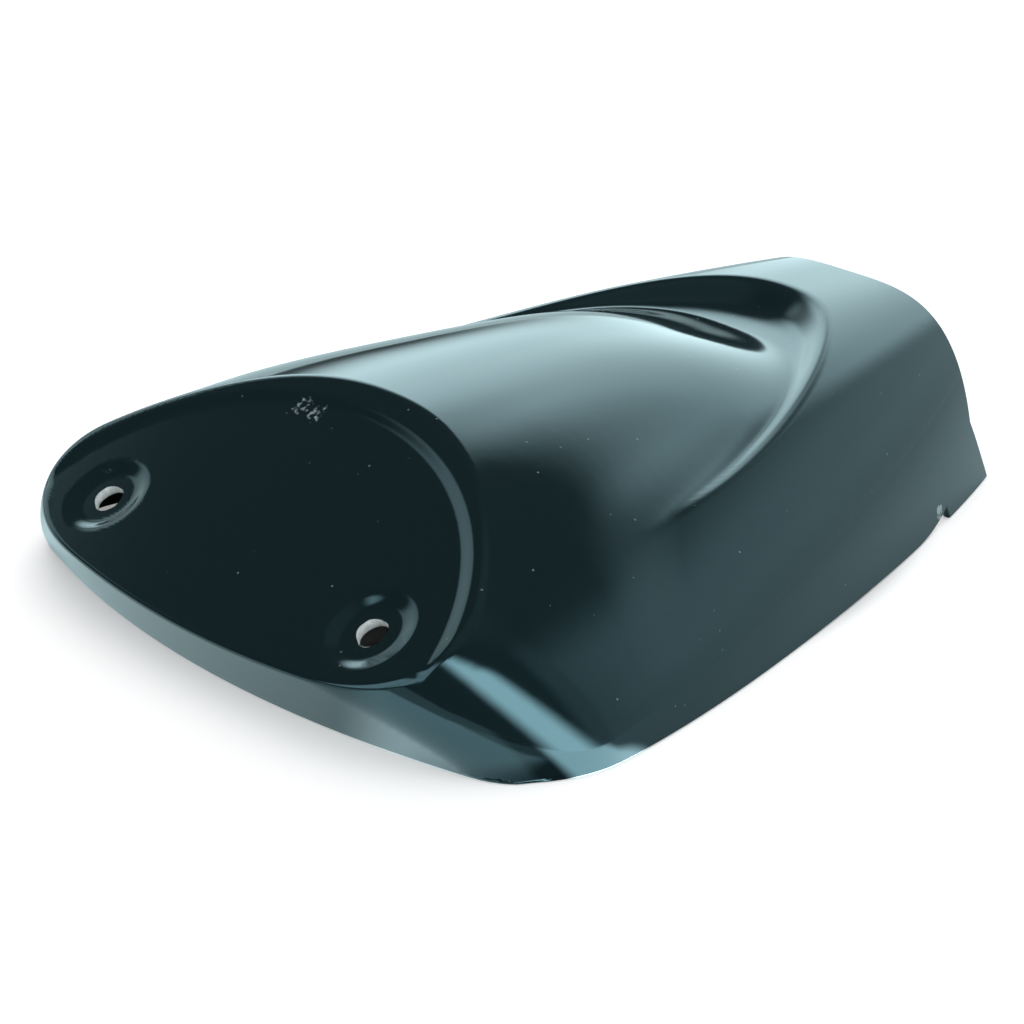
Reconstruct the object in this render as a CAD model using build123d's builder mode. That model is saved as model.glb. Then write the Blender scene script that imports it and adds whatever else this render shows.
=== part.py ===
"""Seat cowl: a one-piece moulded shell that covers the rear seat of a motorbike.

The cowl rests on its lower rim on the plane Z = 0. The pad face is at the front (-Y), the open
arch at the rear (+Y), and X = 0 is the plane of symmetry. Stations are measured back from the lip.
"""
import os
from math import cos, exp, pi, prod, radians, sin, sqrt

from build123d import *

# Overall form
length = 325.0
wall = 3.0

# Plan of the arch: half width at the rim, at stations behind the lip, and lean of the sides
nose_half_width = 132.5
widest_station = 67.0
widest_half_width = 135.0
hip_station = 128.0
hip_half_width = 125.0
tab_reach = 14.0
tail_station = length - tab_reach
tail_half_width = 67.5
waist_lead = 7.5
waist_station = (hip_station + tail_station) / 2 - waist_lead
waist_half_width = 102.5
side_lean = 0.16

# Crown height and squareness of the shoulders at the pad face, the waist and the tail
face_top_station = 86.0
front_height = 72.5
waist_height = 71.5
tail_height = 68.5
front_squareness = 2.1
waist_squareness = 2.8
tail_squareness = 3.6

# Horseshoe ridge round the rear end of the hump, and the hollow inside it
collar_depth = 37.0
apex_station = tail_station - collar_depth
bend_station = 144.0
bend_half_width = 92.0
bend_taper = 0.22
bend_power = 2.2
leg_station = 85.0
leg_breadth = 0.8
hollow_depth = 11.5
hollow_reach = 8.0
ridge_rounding = 6.0
valley_rounding = 4.0

# Hump: its crest over the arch rises behind the pad face, then falls to the hollow
shoulder_station = 129.0
shoulder_rise = 2.6
crest_station = 167.0
crest_rise = 2.6
back_length = 52.0
back_fall = 5.2
end_length = 24.0
end_fall = 17.0
crest_rounding = 25.0
flank_start_station = 84.0
flank_full_station = 190.0
flank_fall = 2.8e-5
flank_power = 3
rim_share = 0.2

# Pad face with its screw holes, the lip below it and the chin
face_angle = 30.0
hole_station = 24.0
hole_drop = 37.5
hole_height = front_height - hole_drop
hole_spacing = 140.0
hole_diameter = 10.4
lip_offset = 28.5
lip_radius = 455.0
corner_radius = 30.0
edge_radius = 4.0

# Recess of the pad face inside its raised rim
rim_rise = 1.2
recess_half_width = 103.5
recess_height = 87.0
recess_drop = 20.0

# Dished seats round the screw holes
dish_radius = 16.5
dish_depth = 3.0
dish_rounding = 1.4

# Rear edge, its side tabs and the relief in the rim ahead of them
kink_height = 26.0
tab_length = 41.2
tab_rake = 2.8
relief_length = 31.0
relief_height = 5.0

# Sections of the loft, which runs past both ends and below the rim before it is trimmed
front_overrun = 50.0
rear_overrun = 15.0
skirt = 5.0
section_count = 52
arch_points = 41
turns = [pi * i / (arch_points - 1) for i in range(arch_points)]


def at(station):
    """Y of a station measured back from the lip."""
    return station - length / 2


def through(station, *points):
    """Value at a station of the smooth curve through the points (station, value)."""
    return sum(
        value * prod((station - other) / (own - other) for other, _ in points if other != own)
        for own, value in points
    )


def ramp(value, start, end):
    """Smooth step from 0 at start to 1 at end."""
    t = min(max((value - start) / (end - start), 0.0), 1.0)
    return t * t * (3.0 - 2.0 * t)


def half_width(station):
    """Half width of the arch at the rim."""
    return through(
        max(station, 0.0),
        (0.0, nose_half_width),
        (widest_station, widest_half_width),
        (hip_station, hip_half_width),
        (waist_station, waist_half_width),
        (tail_station, tail_half_width),
    )


def height(station):
    """Crown height of the plain arch."""
    front, waist = (face_top_station, front_height), (waist_station, waist_height)
    return through(max(station, 0.0), front, waist, (tail_station, tail_height))


def squareness(station):
    """Power of the plain arch's curve: 2 is an ellipse, more has squarer shoulders."""
    front, waist = (face_top_station, front_squareness), (waist_station, waist_squareness)
    return through(max(station, 0.0), front, waist, (tail_station, tail_squareness))


def swell(value, rounding):
    """Value where it is positive and 0 where it is negative, with a rounded corner between."""
    t = min(max(value, -rounding), rounding) + rounding
    return max(value - rounding, 0.0) + t * t / (4.0 * rounding)


def horseshoe(side, station):
    """Height over the plain arch of the hollow inside the horseshoe ridge."""
    leg = bend_half_width - bend_taper * (station - bend_station)
    bend = apex_station - bend_station
    across = (side / leg) ** bend_power
    along = (max(station - bend_station, 0.0) / bend) ** bend_power
    reach = across + along
    apex_share = along / reach if along else 0.0
    inside = (1.0 - reach ** (1.0 / bend_power)) * (leg + (bend - leg) * apex_share)
    share = ramp(station, leg_station, apex_station)
    down = swell(inside / max(share, leg_breadth), ridge_rounding) / hollow_reach
    return hollow_depth * share * (exp(-down) - 1.0)


def hump(side, station):
    """Height of the hump's surface over the plain arch."""
    rise = face_top_station + swell(station - face_top_station, crest_rounding)
    crest = through(
        min(rise, apex_station),
        (face_top_station, 0.0),
        (shoulder_station, shoulder_rise),
        (crest_station, crest_rise),
        (apex_station - back_length, -back_fall),
        (apex_station - end_length, -end_fall),
    )
    return crest - flank_fall * ramp(station, flank_start_station, flank_full_station) * side**flank_power


def lift(side, station, wide):
    """Height of the moulded surface over the plain arch: the higher of hump and hollow, rounded."""
    hollow = horseshoe(side, station)
    rounded = hollow + swell(hump(side, station) - hollow, valley_rounding)
    return rounded * ramp(wide - side, 0.0, rim_share * wide)


def arch_section(station, inset):
    """Points of one arch from rim to rim over the crown, moved in from the surface by inset."""
    wide, high = half_width(station) - inset, height(station) - inset
    power = squareness(station)
    points = []
    for turn in turns:
        across, up = abs(cos(turn)), abs(sin(turn)) if 0.0 < turn < pi else 0.0
        reach = ((across / wide) ** power + (up / high) ** power) ** (-1.0 / power)
        rise = reach * up
        side = reach * across * (1.0 - side_lean * rise / wide)
        points.append((side if turn < pi / 2 else -side, rise + lift(side, station, wide)))
    return points


face = Plane(
    origin=(0, at(hole_station), hole_height),
    x_dir=(1, 0, 0),
    z_dir=(0, -sin(radians(face_angle)), cos(radians(face_angle))),
)
first_station, last_station = -front_overrun, length + rear_overrun
clear_of_all = length + front_height
lip_reach = widest_half_width + corner_radius
lip_sag = lip_radius - sqrt(lip_radius**2 - lip_reach**2)


def moulding(inset, face_rise):
    """Solid inside the cowl's surface moved in by inset, below the face moved up by face_rise."""
    lip = inset - lip_offset
    with BuildPart() as body:
        for i in range(section_count):
            station = first_station + (last_station - first_station) * i / (section_count - 1)
            with BuildSketch(Plane.XZ.offset(-at(station))):
                with BuildLine():
                    arch = Edge.make_spline(arch_section(station, inset), parameters=turns)
                    add(arch)
                    near, far = arch @ 0, arch @ 1
                    Polyline(far, (far.X, -skirt), (near.X, -skirt), near)
                make_face()
        loft()
        # The chin is square to the pad face and rolls into the sides
        with BuildSketch(face):
            with BuildLine():
                front = ThreePointArc((-lip_reach, lip + lip_sag), (0, lip), (lip_reach, lip + lip_sag))
                Polyline(front @ 1, (lip_reach, 2 * length), (-lip_reach, 2 * length), front @ 0)
            make_face()
        extrude(amount=length, both=True, mode=Mode.INTERSECT)
        front_edges = body.edges().filter_by(lambda edge: edge.center().Z > hole_height)
        fillet(front_edges.sort_by(Axis.Y)[0], corner_radius - inset)
        split(bisect_by=face.offset(face_rise), keep=Keep.BOTTOM)
    return body.part


with BuildPart() as cavity:
    add(moulding(wall, -wall))
    # The wall goes round the dished seats on the inside too
    with BuildSketch(face.offset(-wall)):
        with GridLocations(hole_spacing, 0, 2, 1):
            Circle(dish_radius + wall)
    extrude(amount=-dish_depth, mode=Mode.SUBTRACT)

with BuildPart() as cowl:
    add(moulding(0.0, rim_rise))
    rim_face = cowl.faces().filter_by(GeomType.PLANE).sort_by(lambda side: side.center().Z)[-1]
    fillet(rim_face.edges(), edge_radius)

    # The pad face lies inside a raised rim that is open at the lip
    with BuildSketch(face):
        with Locations((0, -recess_drop)):
            Ellipse(recess_half_width, recess_height)
            Rectangle(2 * recess_half_width, recess_height, align=(Align.CENTER, Align.MAX))
    extrude(amount=clear_of_all, mode=Mode.SUBTRACT)

    # Dished seats and their screw holes
    with BuildSketch(face):
        with GridLocations(hole_spacing, 0, 2, 1):
            Circle(dish_radius)
    extrude(amount=-dish_depth, mode=Mode.SUBTRACT)
    fillet(cowl.edges(Select.LAST).filter_by(GeomType.CIRCLE), dish_rounding)

    add(cavity.part, mode=Mode.SUBTRACT)
    with BuildSketch(face):
        with GridLocations(hole_spacing, 0, 2, 1):
            Circle(hole_diameter / 2)
    extrude(amount=-3 * (wall + dish_depth), mode=Mode.SUBTRACT)

    # Rear edge that slants back into the tabs, and the relief in the rim ahead of them
    with BuildSketch(Plane.YZ):
        with BuildLine():
            Polyline(
                (at(length), 0),
                (at(tail_station), kink_height),
                (at(tail_station), clear_of_all),
                (at(last_station), clear_of_all),
                (at(last_station), -skirt),
                (at(length), -skirt),
                close=True,
            )
        make_face()
        with BuildLine():
            front = at(length - tab_length)
            notch = (front - tab_rake, relief_height)
            curve = TangentArc((notch[0] - relief_length, 0), notch, tangent=(1, 0))
            Polyline(curve @ 1, (front, 0), curve @ 0)
        make_face()
    extrude(amount=2 * widest_half_width, both=True, mode=Mode.SUBTRACT)
    split(bisect_by=Plane.XY, keep=Keep.TOP)

cowl.part.label = "seat_cowl"
os.makedirs("parts", exist_ok=True)
export_step(cowl.part, "parts/seat_cowl.step")
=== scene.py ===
"""Seat cowl in gloss black gel coat: the moulded shell, a white studio floor, soft light and the camera.

The shell follows the same formulas as the solid, in millimetres, on a much finer mesh.
"""
from math import cos, pi, radians, sin

import bpy
import numpy as np
from mathutils import Matrix, Vector


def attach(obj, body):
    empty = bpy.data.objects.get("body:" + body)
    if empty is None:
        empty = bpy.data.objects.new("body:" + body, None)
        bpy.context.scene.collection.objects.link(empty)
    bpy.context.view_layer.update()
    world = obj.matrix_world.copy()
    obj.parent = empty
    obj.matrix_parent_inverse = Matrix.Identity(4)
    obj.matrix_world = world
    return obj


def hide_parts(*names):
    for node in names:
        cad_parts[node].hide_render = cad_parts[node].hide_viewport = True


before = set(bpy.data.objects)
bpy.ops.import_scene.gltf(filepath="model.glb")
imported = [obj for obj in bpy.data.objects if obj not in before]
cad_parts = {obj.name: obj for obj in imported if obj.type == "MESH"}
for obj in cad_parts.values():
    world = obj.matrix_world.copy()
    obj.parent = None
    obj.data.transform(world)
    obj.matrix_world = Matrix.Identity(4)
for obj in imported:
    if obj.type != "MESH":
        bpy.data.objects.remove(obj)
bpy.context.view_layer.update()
MILLIMETRE = 0.001

# Overall form
length = 325.0
wall = 3.0

# Plan of the arch: half width at the rim, at stations behind the lip, and lean of the sides
nose_half_width = 132.5
widest_station = 67.0
widest_half_width = 135.0
hip_station = 128.0
hip_half_width = 125.0
tab_reach = 14.0
tail_station = length - tab_reach
tail_half_width = 67.5
waist_lead = 7.5
waist_station = (hip_station + tail_station) / 2 - waist_lead
waist_half_width = 102.5
side_lean = 0.16

# Crown height and squareness of the shoulders at the pad face, the waist and the tail
face_top_station = 86.0
front_height = 72.5
waist_height = 71.5
tail_height = 68.5
front_squareness = 2.1
waist_squareness = 2.8
tail_squareness = 3.6

# Hump and the horseshoe wall round its rear end
collar_depth = 37.0
apex_station = tail_station - collar_depth
bend_station = 144.0
bend_half_width = 89.5
bend_taper = 0.22
bend_power = 2.2
leg_station = 85.0
leg_breadth = 0.32
leg_blend = 0.12
hollow_depth = 11.5
hollow_reach = 8.0
ridge_rounding = 6.0
valley_rounding = 7.0
shoulder_station = 129.0
shoulder_rise = 2.6
crest_station = 167.0
crest_rise = 2.6
back_length = 52.0
back_fall = 5.2
end_length = 24.0
end_fall = 17.0
crest_rounding = 25.0
flank_start_station = 84.0
flank_full_station = 190.0
flank_fall = 2.8e-5
flank_power = 3
rim_share = 0.2

# Pad face, its lip, raised rim, dished seats and holes
face_angle = 30.0
hole_station = 24.0
hole_drop = 37.5
hole_height = front_height - hole_drop
hole_spacing = 140.0
hole_radius = 5.2
lip_offset = 28.5
lip_radius = 455.0
corner_radius = 33.0
lip_rounding = 1.4
rim_rounding = 5.0
rim_rise = 1.2
recess_half_width = 103.5
recess_height = 87.0
recess_drop = 20.0
crease_width = 6.0
dish_radius = 16.5
dish_depth = 1.8
dish_flank = 7.0

# Rear edge, its tabs and the relief in the rim ahead of them
kink_height = 26.0
tab_length = 41.2
tab_rake = 2.8
relief_length = 31.0
relief_height = 5.0
edge_rounding = 0.6

# Mesh of the outer skin: segments along each run, of which the inner skin has half, the place that the
# front columns fan out from, their widest tilt in radians, and how the points of a row are spread
front_columns = 190
top_columns = 228
front_rows = 90
rear_sections = 136
tab_sections = 24
tab_rows = 6
seam_station = 124.0
fan_station = 54.0
fan_height = 20.0
disc_radius = 30.0
hole_segments = 64
widest_tilt = 2.3
row_samples = 150
bend_weight = 5.0
smoothing_rounds = 3
settling_share = 0.6

# Search for the surface: reach of a ray, its halvings, those of an edge, and the steps of the slopes.
# The lower edge is looked for up to the two leans, in radians, and the holes up to a height over the face
ray_reach = 220.0
ray_halvings = 16
edge_halvings = 26
arch_step = 0.15
normal_step = 0.2
nearly_parallel = 0.999
widest_blend = 50.0
floor_lean = 0.5
tab_lean = 0.8
hole_search = 3.0 * (wall + dish_depth)

# Drilled holes: bare laminate shows where the gel coat has chipped off round them
hole_roughness = 0.25
hole_waves = ((2, 0.4), (3, 2.1), (5, 4.0), (9, 1.3), (13, 5.2))
chip_width = 0.3
chip_depth = 0.7
chip_roughness = 0.5
chip_turn = 1.0

# Camera
camera_azimuth = 48.459
camera_elevation = 23.0
camera_place = (674.94, -617.36, 400.12)
focal_pixels = 2839.29
image_pixels = 1024
sensor_width = 36.0
view_depth = 20.0

# Floor, lamp and light tent. Floor and lamp are in metres. For the camera alone, the floor is lifted
# towards white from the edge of the footprint outwards, whose half width and half length are in
# millimetres. A patch of the tent has its left and right turn, its low and high rise, the softness of
# its sides and of its top, in degrees, its strength, and its lean in turn by rise
floor_size = 8.0
floor_colour = (0.90, 0.915, 0.92, 1.0)
floor_in_gloss = (0.64, 0.86, 0.90, 1.0)
floor_lift = 0.34
floor_roughness = 0.9
footprint = (118.0, 150.0)
lift_edge = (0.9, 1e6, 0.1)
lamp_size = 3.0
lamp_height = 2.0
lamp_power = 22.0
tent_ceiling = 0.10
tent_colour = (1.0, 1.0, 1.0, 1.0)
tent_in_gloss = (0.72, 0.96, 1.0, 1.0)
black = (0.0, 0.0, 0.0, 1.0)
tent_patches = (
    (-47.0, -4.0, -90.0, 41.0, 7.0, 7.0, 2.75, 0.0),
    (-72.0, -47.0, 8.0, 33.0, 7.0, 7.0, 3.2, 0.0),
    (-4.0, 42.0, -90.0, 40.0, 8.0, 14.0, 0.8, 0.0),
    (-4.0, 42.0, 8.0, 40.0, 8.0, 8.0, 0.25, 0.0),
    (42.0, 68.0, -90.0, 50.0, 8.0, 12.0, 0.5, 0.0),
    (-181.0, 181.0, 62.0, 91.0, 1.0, 8.0, 0.15, 0.0),
)
# Strips of light, kept low for all but the gloss: off the near corner, in front of the lip, which takes
# two since the turn jumps there, and to the left
strip_share = 0.3
gloss_strips = (
    (66.0, 98.0, -90.0, 44.0, 10.0, 5.0, 10.0, 0.9),
    (158.0, 181.0, 12.0, 52.0, 6.0, 5.0, 3.0, 0.0),
    (-181.0, -148.0, 12.0, 52.0, 6.0, 5.0, 3.0, 0.0),
    (-112.0, -78.0, 4.0, 36.0, 6.0, 4.0, 1.2, 0.0),
)

# Light pools on the floor that show in the gloss: off the near corner, with a shade beside it, in front
# of the chin, with more at its near end, and a glow far off that lasts to the horizon. Each has its low
# and high end, its softness and its strength; the corner's go by turn in degrees, the chin's by place
corner_place = (105.0, -105.0)
corner_pool = (55.0, 104.0, 6.0, 8.0)
corner_shade = (104.0, 128.0, 6.0, 0.95)
chin_pool = (-260.0, -135.0, 10.0, 0.5)
near_pool = (75.0, 190.0, 15.0, 3.0)
far_glow = 0.35
far_start, far_end = 10.0, 300.0

# Gel coat: its colour, unevenness and dust, which lies where the cloud is thick. A scuff has its place,
# its reach and the share of it worn, and is whole within a third of its reach
coat_colour = (0.0050, 0.0135, 0.0160, 1.0)
coat_index = 1.5
coat_tint = (0.62, 0.90, 1.0, 1.0)
coat_roughness = 0.05
wear_colour = (0.26, 0.32, 0.33, 1.0)
wear_roughness = 0.4
cloud_scale = 14.0
cloud_detail = 4.0
cloud_roughness = 0.05
peel_scale = 220.0
peel_detail = 1.0
peel_depth = 0.0001
peel_strength = 0.1
dust_scale = 120.0
dust_radius = 0.06
dust_share = 0.5
dust_cloud = (0.4, 0.6)
scuffs = (
    ((-29.0, -86.0, 65.3), 9.0, 0.42),
    ((-21.0, -86.8, 64.8), 8.0, 0.44),
    ((80.7, 112.0, 6.0), 5.0, 0.60),
)
scuff_scale = 600.0
scuff_detail = 5.0
scuff_core = 3
scuff_softness = 0.10

# Inner side of the laminate, and the bare laminate in the holes
lining_roughness = 0.75
lining_dark = (0.014, 0.017, 0.018, 1.0)
lining_light = (0.055, 0.062, 0.064, 1.0)
fibre_scale = 160.0
fibre_detail = 6.0
fibre_distortion = 1.5
fibre_depth = 0.0006
fibre_strength = 0.6
raw_roughness = 0.6
raw_dark = (0.28, 0.32, 0.33, 1.0)
raw_light = (0.85, 0.90, 0.90, 1.0)
raw_scale = 700.0
raw_detail = 4.0
raw_depth = 0.0003
raw_strength = 0.5

# Finishes, in the order of the mesh's material slots
GLOSS, LINING, RAW = range(3)

face_sin, face_cos = sin(radians(face_angle)), cos(radians(face_angle))


def at(station):
    """Y of a station measured back from the lip."""
    return station - length / 2


seam_y, tab_y, tail_y, tip_y = at(seam_station), at(length - tab_length), at(tail_station), at(length)
fan_origin = (0.0, at(fan_station), fan_height)


def through(station, *points):
    """Value at a station of the smooth curve through the points (station, value)."""
    total = 0.0
    for own, value in points:
        term = value
        for other, _ in points:
            if other != own:
                term = term * (station - other) / (own - other)
        total = total + term
    return total


def ramp(value, start, end):
    """Smooth step from 0 at start to 1 at end."""
    t = np.clip((value - start) / (end - start), 0.0, 1.0)
    return t * t * (3.0 - 2.0 * t)


def half_width(station):
    """Half width of the arch at the rim."""
    return through(
        np.maximum(station, 0.0),
        (0.0, nose_half_width),
        (widest_station, widest_half_width),
        (hip_station, hip_half_width),
        (waist_station, waist_half_width),
        (tail_station, tail_half_width),
    )


def height(station):
    """Crown height of the plain arch."""
    front, waist = (face_top_station, front_height), (waist_station, waist_height)
    return through(np.maximum(station, 0.0), front, waist, (tail_station, tail_height))


def squareness(station):
    """Power of the plain arch's curve: 2 is an ellipse, more has squarer shoulders."""
    front, waist = (face_top_station, front_squareness), (waist_station, waist_squareness)
    return through(np.maximum(station, 0.0), front, waist, (tail_station, tail_squareness))


def swell(value, rounding):
    """Value where it is positive and 0 where it is negative, with a rounded corner between."""
    t = np.clip(value, -rounding, rounding) + rounding
    return np.maximum(value - rounding, 0.0) + t * t / (4.0 * rounding)


def horseshoe(side, station):
    """Height over the plain arch of the hollow inside the horseshoe ridge."""
    leg = bend_half_width - bend_taper * (station - bend_station)
    bend = apex_station - bend_station
    across = (np.abs(side / leg)) ** bend_power
    along = (np.maximum(station - bend_station, 0.0) / bend) ** bend_power
    reach = across + along + 1e-9
    inside = (1.0 - reach ** (1.0 / bend_power)) * (leg + (bend - leg) * along / reach)
    share = ramp(station, leg_station, apex_station)
    breadth = leg_breadth + swell(share - leg_breadth, leg_blend)
    down = swell(inside / breadth, ridge_rounding) / hollow_reach
    return hollow_depth * share * (np.exp(-down) - 1.0)


def hump(side, station):
    """Height of the hump's surface over the plain arch."""
    rise = face_top_station + swell(station - face_top_station, crest_rounding)
    crest = through(
        np.minimum(rise, apex_station),
        (face_top_station, 0.0),
        (shoulder_station, shoulder_rise),
        (crest_station, crest_rise),
        (apex_station - back_length, -back_fall),
        (apex_station - end_length, -end_fall),
    )
    flank = ramp(station, flank_start_station, flank_full_station)
    return crest - flank_fall * flank * side**flank_power


def lift(side, station, wide):
    """Height of the moulded surface over the plain arch: the higher of hump and hollow, rounded."""
    hollow = horseshoe(side, station)
    rounded = hollow + swell(hump(side, station) - hollow, valley_rounding)
    return rounded * ramp(wide - side, 0.0, rim_share * wide)


def arch_field(x, y, z):
    """Field that is 0 on the moulded arch, negative inside it and positive outside."""
    station, side = y + length / 2, np.abs(x)
    wide, high, power = half_width(station), height(station), squareness(station)
    rise = np.maximum(z - lift(side, station, wide), 0.0)
    reach = np.maximum(wide - side_lean * rise, wall)
    return ((side / reach) ** power + (rise / high) ** power + 1e-12) ** (1.0 / power) - 1.0


def slopes(field, x, y, z, step):
    """Gradient of a field by central differences."""
    return [
        (field(x + i, y + j, z + k) - field(x - i, y - j, z - k)) / (2.0 * step)
        for i, j, k in ((step, 0, 0), (0, step, 0), (0, 0, step))
    ]


def rounded_max(a, b, radius, facing):
    """Higher of two levels with a rounded edge between; facing is the cosine of their normals."""
    blend = np.maximum(radius * (1.0 - facing), 1e-3)
    u, v = np.maximum(a + blend, 0.0), np.maximum(b + blend, 0.0)
    return np.where((u > 0) & (v > 0), np.hypot(u, v) - blend, np.maximum(a, b))


def face_coordinates(y, z):
    """Distance up the pad face from the hole line, and height over the face."""
    back, up = y - at(hole_station), z - hole_height
    return back * face_cos + up * face_sin, up * face_cos - back * face_sin


def face_relief(x, along):
    """Height of the pad face's surface: the recess is 0, its rim stands up and the dishes go down."""
    ring = np.hypot(x / recess_half_width, np.maximum(along + recess_drop, 0.0) / recess_height)
    outside = (ring - 1.0) * (recess_half_width + recess_height) / 2.0
    rim = rim_rise * ramp(outside, -crease_width / 2.0, crease_width / 2.0)
    from_hole = np.hypot(np.abs(x) - hole_spacing / 2.0, along)
    return rim - dish_depth * ramp(dish_radius - from_hole, 0.0, dish_flank)


def body_level(x, y, z):
    """Distance outside the cowl's surface, near enough; negative inside."""
    arch = arch_field(x, y, z)
    gx, gy, gz = slopes(arch_field, x, y, z, arch_step)
    steep = np.sqrt(gx**2 + gy**2 + gz**2) + 1e-9
    arch, gx, gy, gz = arch / steep, gx / steep, gy / steep, gz / steep
    along, above = face_coordinates(y, z)
    lip_centre = lip_radius - lip_offset
    from_axis = np.hypot(x, along - lip_centre)
    chin = from_axis - lip_radius
    facing_chin = (gx * x + (gy * face_cos + gz * face_sin) * (along - lip_centre)) / from_axis
    sides = rounded_max(arch, chin, corner_radius, np.clip(facing_chin, -1.0, nearly_parallel))
    chin_lead = np.clip((chin - arch) / lip_rounding, -widest_blend, widest_blend)
    on_arch = 1.0 / (1.0 + np.exp(chin_lead))
    rounding = lip_rounding + (rim_rounding - lip_rounding) * on_arch
    facing_face = np.clip((gz * face_cos - gy * face_sin) * on_arch, -1.0, nearly_parallel)
    return rounded_max(sides, above - face_relief(x, along), rounding, facing_face)


def unit(vectors):
    """Vectors at length one."""
    return vectors / np.linalg.norm(vectors, axis=-1, keepdims=True)


def normals(points):
    """Unit normals of the cowl's surface at points."""
    flat = np.stack(slopes(body_level, *np.moveaxis(points, -1, 0), normal_step), -1)
    return flat / (np.linalg.norm(flat, axis=-1, keepdims=True) + 1e-12)


def meet(path, level):
    """Points where paths from inside the cowl first come to a level of the field."""
    shape = path(0.0)[0].shape
    low, high = np.zeros(shape), np.full(shape, ray_reach)
    for _ in range(ray_halvings):
        middle = (low + high) / 2.0
        inside = body_level(*path(middle)) < level
        low, high = np.where(inside, middle, low), np.where(inside, high, middle)
    under, over = body_level(*path(low)) - level, body_level(*path(high)) - level
    share = np.clip(under / (under - over - 1e-12), 0.0, 1.0)
    return np.stack(np.broadcast_arrays(*path(low + (high - low) * share)), -1)


def fan_point(turn, tilt, level):
    """Surface point seen from under the pad face: turn about the face's normal, tilt away from it."""
    flat, up = np.sin(tilt), np.cos(tilt)
    dx = flat * np.cos(turn)
    dy = flat * np.sin(turn) * face_cos - up * face_sin
    dz = flat * np.sin(turn) * face_sin + up * face_cos
    return meet(lambda t: (t * dx, fan_origin[1] + t * dy, fan_origin[2] + t * dz), level)


def rear_y(share, z, end_gap):
    """Y of a section behind the seam: to the tabs' raked front (share 1), then to the rear edge (2)."""
    front = tab_y - tab_rake * np.clip(z / relief_height, 0.0, 1.0) + end_gap
    slant = np.clip((kink_height - z) / kink_height, 0.0, 1.0)
    end = tail_y + (tip_y - tail_y) * slant - end_gap
    to_front, to_end = np.minimum(share, 1.0), np.maximum(share - 1.0, 0.0)
    return seam_y + (front - seam_y) * to_front + (end - front) * to_end


def rear_point(share, lean, level, end_gap):
    """Surface point of a section behind the seam, seen from its middle on the floor."""
    across, up = np.cos(lean), np.sin(lean)
    return meet(lambda t: (t * across, rear_y(share, t * up, end_gap), t * up), level)


def bisect(test, low, high):
    """Value between low and high where the test turns from true to false."""
    low, high = np.array(low, float), np.array(high, float)
    for _ in range(edge_halvings):
        middle = (low + high) / 2.0
        good = test(middle)
        low, high = np.where(good, middle, low), np.where(good, high, middle)
    return (low + high) / 2.0


def spread_rows(points, count, bend_weight):
    """Positions along each row of sample points, spread by length and by how much the row bends."""
    step = np.diff(points, axis=1)
    run = np.linalg.norm(step, axis=2) + 1e-9
    heading = step / run[..., None]
    bend = np.arccos(np.clip((heading[:, 1:] * heading[:, :-1]).sum(-1), -1.0, 1.0))
    bend = np.pad(bend, ((0, 0), (1, 0))) + np.pad(bend, ((0, 0), (0, 1)))
    weight = np.cumsum(np.pad(run + bend_weight * bend / 2.0, ((0, 0), (1, 0))), axis=1)
    weight /= weight[:, -1:]
    places = np.linspace(0.0, 1.0, count + 1)
    samples = np.linspace(0.0, 1.0, points.shape[1])
    return np.array([np.interp(places, row, samples) for row in weight])


def smoothed(rows, rounds):
    """Rows averaged with their neighbours in a ring, so that the mesh runs evenly."""
    for _ in range(rounds):
        rows = (np.roll(rows, 1, 0) + 2.0 * rows + np.roll(rows, -1, 0)) / 4.0
    return rows


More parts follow.
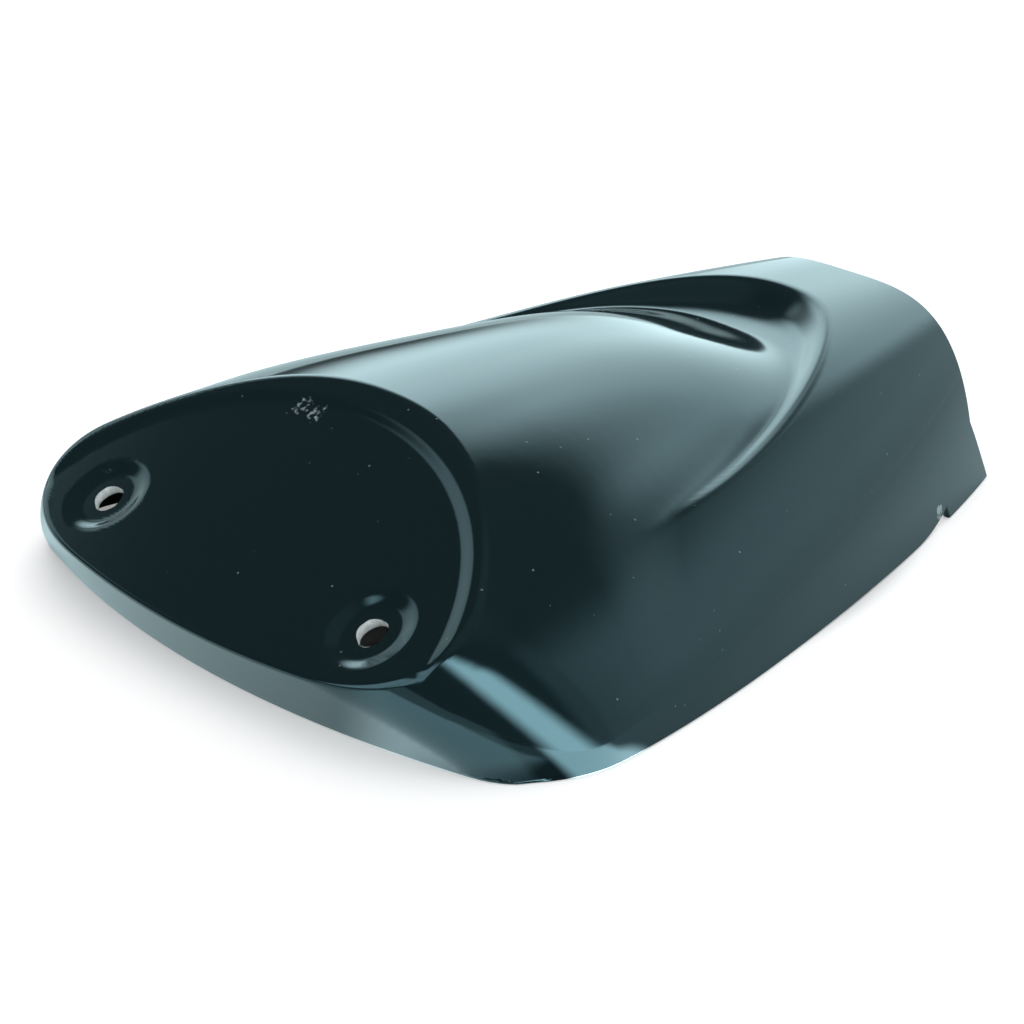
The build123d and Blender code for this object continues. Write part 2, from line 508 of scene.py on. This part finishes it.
class Skin:
    """One skin of the shell, as points, normals, faces and the closed loop of its edge."""

    def __init__(self, level, coarse, gap):
        """level is the depth in the wall, coarse divides the segments, gap is left along every edge."""
        self.level, self.coarse, self.gap = level, coarse, gap
        self.points, self.faces, self.count = [], [], 0
        self.build_front()
        self.build_rear()
        self.points = np.concatenate(self.points)
        self.normals = normals(self.points)

    def add(self, points):
        """Adds points and returns their indices in the same shape."""
        index = self.count + np.arange(points[..., 0].size).reshape(points.shape[:-1])
        self.points.append(points.reshape(-1, 3))
        self.count += index.size
        return index

    def quads(self, index):
        """Adds the faces of a grid of indices."""
        grid = np.stack([index[:-1, :-1], index[1:, :-1], index[1:, 1:], index[:-1, 1:]], -1)
        self.faces += grid.reshape(-1, 4).tolist()

    def build_front(self):
        """Pad face, chin, corners and the front of the hump: columns fan out from the face's middle."""
        level, gap = self.level, self.gap
        columns, tops, rows = (n // self.coarse for n in (front_columns, top_columns, front_rows))
        seam = np.zeros(1)
        lean = bisect(lambda lean: rear_point(seam, lean, level, 0.0)[:, 2] < gap, [0.0], [floor_lean])
        corner = rear_point(seam, lean, level, 0.0)[0] - fan_origin
        squash = recess_half_width / (recess_height - recess_drop)
        corner_spin = np.arctan2((corner[1] * face_cos + corner[2] * face_sin) * squash, corner[0])
        spin = np.concatenate([
            np.linspace(corner_spin, -pi - corner_spin, columns, endpoint=False),
            np.linspace(pi - corner_spin, corner_spin, tops, endpoint=False),
        ])
        turn = np.arctan2(np.sin(spin) / squash, np.cos(spin))
        disc_tilt = np.arctan2(disc_radius, level - face_coordinates(*fan_origin[1:])[1])
        start = np.full(turn.shape, disc_tilt)

        def within(tilt):
            point = fan_point(turn, tilt, level)
            return (point[:, 2] > gap) & (point[:, 1] < seam_y)

        end = bisect(within, start, np.full(turn.shape, widest_tilt))
        around, along = np.meshgrid(turn, np.linspace(0.0, 1.0, row_samples), indexing="ij")
        samples = fan_point(around, start[:, None] + (end - start)[:, None] * along, level)
        places = smoothed(spread_rows(samples, rows, bend_weight), smoothing_rounds)
        tilt = start[:, None] + (end - start)[:, None] * places
        front = self.add(fan_point(turn[:, None] + 0.0 * tilt, tilt, level))
        self.quads(np.concatenate([front, front[:1]]))
        self.faces.append(front[::-1, 0].tolist())
        self.floor_edge = front[: columns + 1, -1]
        self.seam = np.concatenate([front[columns:, -1], front[:1, -1]])

    def build_rear(self):
        """Hump, horseshoe and collar behind the seam, and the tabs below the collar."""
        level, gap = self.level, self.gap
        sections, tabs, rows = (n // self.coarse for n in (rear_sections, tab_sections, tab_rows))
        to_front, to_end = np.linspace(0.0, 1.0, sections + 1), np.linspace(1.0, 2.0, tabs + 1)
        share = np.concatenate([to_front[1:], to_end[1:]])
        relief_start = tab_y - tab_rake - relief_length
        into_relief = rear_y(share, kink_height, 0.0) - relief_start
        relief_share = np.clip(into_relief / relief_length, 0.0, 1.0)
        low_z = relief_height * relief_share**2 + gap

        def lowest(share, z):
            flat = np.zeros(share.shape)

            def below(lean):
                return rear_point(share, lean, level, gap)[..., 2] < z

            return bisect(below, flat, flat + tab_lean)

        near = lowest(share, low_z)
        far = pi - near
        samples = far[:, None] + (near - far)[:, None] * np.linspace(0.0, 1.0, row_samples)
        samples = rear_point(share[:, None] + 0.0 * samples, samples, level, gap)
        places = spread_rows(samples, len(self.seam) - 1, bend_weight)
        seam_points = self.points[0][self.seam]
        seam_lean = np.arctan2(np.maximum(seam_points[:, 2], 0.0), seam_points[:, 0])
        seam_places = (seam_lean[0] - seam_lean) / (seam_lean[0] - seam_lean[-1])
        own = ramp(share, 0.0, settling_share)[:, None]
        places = (1.0 - own) * seam_places + own * places
        lean = far[:, None] + (near - far)[:, None] * places
        rear = self.add(rear_point(share[:, None] + 0.0 * lean, lean, level, gap))
        rear = np.concatenate([self.seam[None], rear])
        self.quads(rear[:, ::-1])

        tab_z = np.linspace(gap, relief_height + gap, rows + 1)[:-1]
        tab_share, tab_z = np.meshgrid(share[sections - 1 :], tab_z, indexing="ij")
        lean = lowest(tab_share, tab_z)
        near_tab = self.add(rear_point(tab_share, lean, level, gap))
        near_tab = np.concatenate([near_tab, rear[sections:, -1:]], axis=1)
        far_tab = self.add(rear_point(tab_share, pi - lean, level, gap))
        far_tab = np.concatenate([far_tab, rear[sections:, :1]], axis=1)
        self.quads(near_tab)
        self.quads(far_tab[:, ::-1])
        down, back = (0.0, 0.0, -1.0), (0.0, 1.0, 0.0)
        relief_slope = 2.0 * relief_height / relief_length * relief_share[:sections]
        relief_down = np.stack([np.zeros(sections), relief_slope, np.full(sections, -1.0)], -1)
        tab_ahead = (0.0, -relief_height, -tab_rake)
        slant_back = (0.0, kink_height, tab_reach)
        runs = [
            (self.floor_edge, down),
            (rear[1 : sections + 1, 0], relief_down),
            (far_tab[0, -2::-1], tab_ahead),
            (far_tab[1:, 0], down),
            (far_tab[-1, 1:], slant_back),
            (rear[-1, 1:], back),
            (near_tab[-1, -2::-1], slant_back),
            (near_tab[-2::-1, 0], down),
            (near_tab[0, 1:], tab_ahead),
            (rear[sections - 1 : 0 : -1, -1], relief_down[-2::-1]),
        ]
        self.loop = np.concatenate([run for run, _ in runs])
        self.loop_out = unit(np.concatenate([np.broadcast_to(out, (len(run), 3)) for run, out in runs]))


def hole_edge(angle, radius, rough):
    """Radius of a drilled hole round its edge, uneven by about rough."""
    wave = sum(np.sin(k * angle + shift) / k for k, shift in hole_waves)
    return radius + rough * wave


def bare_edge(angle):
    """Edge of a screw hole."""
    return hole_edge(angle, hole_radius, hole_roughness)


def chipped_edge(angle):
    """Edge of the gel coat round a screw hole."""
    return hole_edge(angle + chip_turn, hole_radius + chip_width, chip_roughness)


def face_point(x, along, above):
    """Point at a place on the pad face and a height over it."""
    y = at(hole_station) + along * face_cos - above * face_sin
    return np.stack(np.broadcast_arrays(x, y, hole_height + along * face_sin + above * face_cos), -1)


def cut_holes(skin, edge):
    """Takes the faces over the screw holes out of a skin and moves the vertices round to the edge."""
    along, above = face_coordinates(skin.points[:, 1], skin.points[:, 2])
    quads = np.array([face for face in skin.faces if len(face) == 4])
    others = [face for face in skin.faces if len(face) != 4]
    for centre in (-hole_spacing / 2.0, hole_spacing / 2.0):
        x = skin.points[:, 0] - centre
        angle = np.arctan2(along, x)
        middle_x, middle_along = x[quads].mean(1), along[quads].mean(1)
        inside = np.hypot(middle_x, middle_along) < edge(np.arctan2(middle_along, middle_x))
        inside &= np.abs(above[quads].mean(1)) < hole_search
        rim = np.intersect1d(quads[inside], quads[~inside])
        turn, radius = angle[rim], edge(angle[rim])
        skin.points[rim] = face_point(centre + radius * np.cos(turn), radius * np.sin(turn), above[rim])
        quads = quads[~inside]
    skin.faces = others + quads.tolist()


class Shell:
    """Points, normals and faces of the whole moulding, gathered for one mesh."""

    def __init__(self):
        self.points, self.normals, self.faces, self.finish, self.count = [], [], [], [], 0

    def add(self, points, normals):
        """Adds points with their normals and returns the index of the first."""
        first = self.count
        self.points.append(points)
        self.normals.append(normals)
        self.count += len(points)
        return first

    def cover(self, faces, finish):
        """Adds faces of one finish."""
        self.faces += faces
        self.finish += [finish] * len(faces)


def join_edges(shell, outer, outer_first, inner):
    """Rounds the outer skin's edge over and closes the wall between the two skins."""
    out, facing = outer.loop_out, outer.normals[outer.loop]
    flat = unit(facing - (facing * out).sum(1, keepdims=True) * out)
    ring = outer.points[outer.loop] + edge_rounding * (out - flat)
    ring_first = shell.add(ring, out)
    back_first = shell.add(inner.points[inner.loop], inner.loop_out)
    size = len(ring)
    faces, closing = [], []
    for i in range(size):
        j = (i + 1) % size
        a, b = outer_first + outer.loop[i], outer_first + outer.loop[j]
        faces.append([a, b, ring_first + j, ring_first + i])
    for i in range(0, size, 2):
        a, b, c = ring_first + i, ring_first + i + 1, ring_first + (i + 2) % size
        d, e = back_first + i // 2, back_first + (i // 2 + 1) % (size // 2)
        closing += [[a, b, d], [b, e, d], [b, c, e]]
    shell.cover(faces, GLOSS)
    shell.cover(closing, GLOSS)


def drill_walls(shell):
    """Chipped edge and bare wall of each screw hole."""
    angle = np.linspace(0.0, 2.0 * pi, hole_segments, endpoint=False)
    radial = np.stack([np.cos(angle), np.sin(angle) * face_cos, np.sin(angle) * face_sin], -1)
    up = np.tile((0.0, -face_sin, face_cos), (hole_segments, 1))
    rings = [
        (chipped_edge(angle), -dish_depth, up),
        (bare_edge(angle), -dish_depth - chip_depth, unit(up - radial)),
        (bare_edge(angle), -dish_depth - wall, -radial),
    ]
    for centre in (-hole_spacing / 2.0, hole_spacing / 2.0):
        firsts = [
            shell.add(face_point(centre + reach * np.cos(angle), reach * np.sin(angle), above), normal)
            for reach, above, normal in rings
        ]
        turn = [(i, (i + 1) % hole_segments) for i in range(hole_segments)]
        for top, low in zip(firsts[:-1], firsts[1:]):
            shell.cover([[top + i, top + j, low + j, low + i] for i, j in turn], RAW)


def build_shell():
    """Makes the moulding as one mesh object."""
    outer, inner = Skin(0.0, 1, edge_rounding), Skin(-wall, 2, 0.0)
    cut_holes(outer, chipped_edge)
    cut_holes(inner, bare_edge)
    shell = Shell()
    outer_first = shell.add(outer.points, outer.normals)
    shell.cover([[outer_first + i for i in face] for face in outer.faces], GLOSS)
    inner_first = shell.add(inner.points, -inner.normals)
    shell.cover([[inner_first + i for i in reversed(face)] for face in inner.faces], LINING)
    join_edges(shell, outer, outer_first, inner)
    drill_walls(shell)

    mesh = bpy.data.meshes.new("seat_cowl_shell")
    points = np.concatenate(shell.points) * MILLIMETRE
    mesh.from_pydata(points.tolist(), [], shell.faces)
    mesh.polygons.foreach_set("material_index", shell.finish)
    mesh.polygons.foreach_set("use_smooth", [True] * len(shell.faces))
    mesh.update()
    mesh.normals_split_custom_set_from_vertices(unit(np.concatenate(shell.normals)).tolist())
    piece = bpy.data.objects.new("seat_cowl_shell", mesh)
    bpy.context.scene.collection.objects.link(piece)
    return piece


class Field:
    """Arithmetic on node sockets of one tree."""

    def __init__(self, tree):
        self.tree = tree

    def math(self, operation, *values):
        """Result of a Math node on sockets or numbers."""
        node = self.tree.nodes.new("ShaderNodeMath")
        node.operation = operation
        for socket, value in zip(node.inputs, values):
            if isinstance(value, bpy.types.NodeSocket):
                self.tree.links.new(value, socket)
            else:
                socket.default_value = value
        return node.outputs[0]

    def step(self, value, start, end):
        """Smooth step of a socket from 0 at start to 1 at end; start may be the larger."""
        node = self.tree.nodes.new("ShaderNodeMapRange")
        node.interpolation_type = "SMOOTHSTEP"
        self.tree.links.new(value, node.inputs["Value"])
        node.inputs["From Min"].default_value = min(start, end)
        node.inputs["From Max"].default_value = max(start, end)
        node.inputs["To Min"].default_value = float(start > end)
        node.inputs["To Max"].default_value = float(start < end)
        return node.outputs["Result"]

    def band(self, value, low, high, soft, strength):
        """Strength where the socket is between low and high, with soft ends."""
        rise = self.step(value, low - soft, low + soft)
        fall = self.step(value, high + soft, high - soft)
        return self.math("MULTIPLY", self.math("MULTIPLY", rise, fall), strength)

    def places(self, kind):
        """Sockets of the three coordinates of one kind."""
        source = self.tree.nodes.new("ShaderNodeTexCoord")
        axes = self.tree.nodes.new("ShaderNodeSeparateXYZ")
        self.tree.links.new(source.outputs[kind], axes.inputs["Vector"])
        return list(axes.outputs)

    def blend(self, share, first, second):
        """Mix of two colours."""
        mix = self.tree.nodes.new("ShaderNodeMix")
        mix.data_type = "RGBA"
        self.tree.links.new(share, mix.inputs["Factor"])
        for socket, value in (("A", first), ("B", second)):
            end = [i for i in mix.inputs if i.name == socket and i.type == "RGBA"][0]
            if isinstance(value, bpy.types.NodeSocket):
                self.tree.links.new(value, end)
            else:
                end.default_value = value
        return [o for o in mix.outputs if o.type == "RGBA"][0]

    def texture(self, kind, **inputs):
        """First value of a procedural texture in the object's own coordinates."""
        node = self.tree.nodes.new("ShaderNodeTex" + kind)
        for socket, value in inputs.items():
            node.inputs[socket].default_value = value
        source = self.tree.nodes.new("ShaderNodeTexCoord")
        self.tree.links.new(source.outputs["Object"], node.inputs["Vector"])
        return node.outputs[0]

    def distance(self, place):
        """Distance in millimetres from a place on the object."""
        source = self.tree.nodes.new("ShaderNodeTexCoord")
        node = self.tree.nodes.new("ShaderNodeVectorMath")
        node.operation = "DISTANCE"
        self.tree.links.new(source.outputs["Object"], node.inputs[0])
        node.inputs[1].default_value = Vector(place) * MILLIMETRE
        return self.math("MULTIPLY", node.outputs["Value"], 1.0 / MILLIMETRE)

    def bump(self, shader, height, depth, strength):
        """Bump of a shader's surface, with its depth in metres."""
        node = self.tree.nodes.new("ShaderNodeBump")
        node.inputs["Strength"].default_value = strength
        node.inputs["Distance"].default_value = depth
        self.tree.links.new(height, node.inputs["Height"])
        self.tree.links.new(node.outputs["Normal"], shader.inputs["Normal"])


def principled(name, **inputs):
    """New material with its Principled shader's sockets set; returns both."""
    material = bpy.data.materials.new(name)
    material.use_nodes = True
    shader = material.node_tree.nodes["Principled BSDF"]
    for socket, value in inputs.items():
        shader.inputs[socket.replace("_", " ")].default_value = value
    return material, shader


def gloss_black():
    """Black gel coat with a deep, slightly uneven gloss, dust specks and a few scuffs."""
    material, shader = principled("gloss_black", IOR=coat_index, Specular_Tint=coat_tint)
    field = Field(material.node_tree)
    cloud = field.texture("Noise", Scale=cloud_scale, Detail=cloud_detail)
    specks = field.step(field.texture("Voronoi", Scale=dust_scale), dust_radius, dust_radius / 2)
    specks = field.math("MULTIPLY", specks, field.step(cloud, *dust_cloud))
    wear = field.math("MULTIPLY", specks, dust_share)
    grain = field.texture("Noise", Scale=scuff_scale, Detail=scuff_detail)
    for place, reach, share in scuffs:
        near = field.step(field.distance(place), reach, reach / scuff_core)
        level = 1.0 - share
        grainy = field.math("MULTIPLY", near, grain)
        worn = field.step(grainy, level - scuff_softness, level + scuff_softness)
        wear = field.math("MAXIMUM", wear, worn)
    field.tree.links.new(field.blend(wear, coat_colour, wear_colour), shader.inputs["Base Color"])
    rough = field.math("MULTIPLY_ADD", cloud, cloud_roughness, coat_roughness)
    rough = field.math("MULTIPLY_ADD", wear, wear_roughness, rough)
    field.tree.links.new(rough, shader.inputs["Roughness"])
    peel = field.texture("Noise", Scale=peel_scale, Detail=peel_detail)
    field.bump(shader, peel, peel_depth, peel_strength)
    return material


def lining():
    """Dull dark inner side of the laminate, with the print of its fibres."""
    material, shader = principled("lining", Roughness=lining_roughness)
    field = Field(material.node_tree)
    fibres = field.texture("Noise", Scale=fibre_scale, Detail=fibre_detail, Distortion=fibre_distortion)
    field.tree.links.new(field.blend(fibres, lining_dark, lining_light), shader.inputs["Base Color"])
    field.bump(shader, fibres, fibre_depth, fibre_strength)
    return material


def raw_laminate():
    """Pale laminate that shows where the gel coat is gone, with dirt in its grain."""
    material, shader = principled("raw_laminate", Roughness=raw_roughness)
    field = Field(material.node_tree)
    grain = field.texture("Noise", Scale=raw_scale, Detail=raw_detail)
    field.tree.links.new(field.blend(grain, raw_dark, raw_light), shader.inputs["Base Color"])
    field.bump(shader, grain, raw_depth, raw_strength)
    return material


def build_floor():
    """Plain white floor that keeps the cowl's shadow, with the light pools that show in the gloss."""
    bpy.ops.mesh.primitive_plane_add(size=floor_size)
    floor = bpy.context.object
    floor.name = "floor"
    material, shader = principled("floor", Roughness=floor_roughness, Specular_IOR_Level=0.0)
    field = Field(material.node_tree)
    x, y = field.places("Object")[:2]
    from_corner = [field.math("SUBTRACT", c, o * MILLIMETRE) for c, o in zip((x, y), corner_place)]
    turn = field.math("DEGREES", field.math("ARCTAN2", *from_corner))
    rays = field.tree.nodes.new("ShaderNodeLightPath").outputs
    camera, gloss = rays["Is Camera Ray"], rays["Is Glossy Ray"]
    x_mm, y_mm = [field.math("DIVIDE", c, MILLIMETRE) for c in (x, y)]
    across, along = [field.math("DIVIDE", c, reach) for c, reach in zip((x_mm, y_mm), footprint)]
    around = field.math("MULTIPLY_ADD", across, across, field.math("MULTIPLY", along, along))
    near = field.math("ADD", field.band(x_mm, *near_pool), 1.0)
    chin = field.math("MULTIPLY", near, field.band(y_mm, *chin_pool))
    pools = field.math("ADD", field.band(turn, *corner_pool), chin)
    pools = field.math("MULTIPLY_ADD", field.step(around, far_start, far_end), far_glow, pools)
    seen_lift = field.math("MULTIPLY", camera, field.band(around, *lift_edge, floor_lift))
    light = field.math("MULTIPLY_ADD", pools, gloss, seen_lift)
    field.tree.links.new(light, shader.inputs["Emission Strength"])
    hue = field.blend(gloss, tent_colour, tent_in_gloss)
    field.tree.links.new(hue, shader.inputs["Emission Color"])
    seen = field.blend(gloss, floor_colour, floor_in_gloss)
    shade = field.math("MULTIPLY", field.band(turn, *corner_shade), gloss)
    field.tree.links.new(field.blend(shade, seen, black), shader.inputs["Base Color"])
    floor.data.materials.append(material)


def build_lamp():
    """Large soft lamp overhead, which lights the floor and isn't seen in the gloss."""
    lamp = bpy.data.lights.new("overhead", "AREA")
    lamp.shape, lamp.size, lamp.energy = "DISK", lamp_size, lamp_power
    holder = bpy.data.objects.new("overhead", lamp)
    holder.location = (0.0, 0.0, lamp_height)
    holder.visible_glossy = False
    bpy.context.scene.collection.objects.link(holder)


def build_tent():
    """Light tent round the cowl: soft patches by turn, from the rear to the right, and by rise."""
    world = bpy.data.worlds.new("tent")
    bpy.context.scene.world = world
    world.use_nodes = True
    tree = world.node_tree
    field = Field(tree)
    x, y, z = field.places("Generated")
    turn = field.math("DEGREES", field.math("ARCTAN2", x, y))
    rise = field.math("DEGREES", field.math("ARCSINE", z))
    gloss = tree.nodes.new("ShaderNodeLightPath").outputs["Is Glossy Ray"]
    total = tent_ceiling
    strips = field.math("MULTIPLY_ADD", gloss, 1.0 - strip_share, strip_share)
    for patches, share in ((tent_patches, 1.0), (gloss_strips, strips)):
        for left, right, low, high, soft_turn, soft_rise, strength, lean in patches:
            leaning = field.math("MULTIPLY_ADD", rise, -lean, turn)
            across = field.band(leaning, left, right, soft_turn, strength)
            patch = field.math("MULTIPLY", across, field.band(rise, low, high, soft_rise, 1.0))
            total = field.math("MULTIPLY_ADD", patch, share, total)
    background = tree.nodes["Background"]
    tree.links.new(total, background.inputs["Strength"])
    tree.links.new(field.blend(gloss, tent_colour, tent_in_gloss), background.inputs["Color"])


def build_camera():
    """Camera at the photograph's place: 48 degrees round to the right, looking down by 23."""
    turn, drop = radians(camera_azimuth), radians(camera_elevation)
    right = Vector((cos(turn), sin(turn), 0.0))
    back = Vector((sin(turn) * cos(drop), -cos(turn) * cos(drop), sin(drop)))
    camera = bpy.data.cameras.new("camera")
    camera.sensor_width = sensor_width
    camera.lens = sensor_width * focal_pixels / image_pixels
    camera.clip_end = view_depth
    holder = bpy.data.objects.new("camera", camera)
    bpy.context.scene.collection.objects.link(holder)
    place = Matrix((right, back.cross(right), back)).transposed().to_4x4()
    place.translation = Vector(camera_place) * MILLIMETRE
    holder.matrix_world = place
    bpy.context.scene.camera = holder


shell = build_shell()
for finish in (gloss_black(), lining(), raw_laminate()):
    shell.data.materials.append(finish)
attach(shell, "root")
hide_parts("seat_cowl")
build_floor()
build_lamp()
build_tent()
build_camera()
bpy.context.scene.view_settings.view_transform = "Standard"
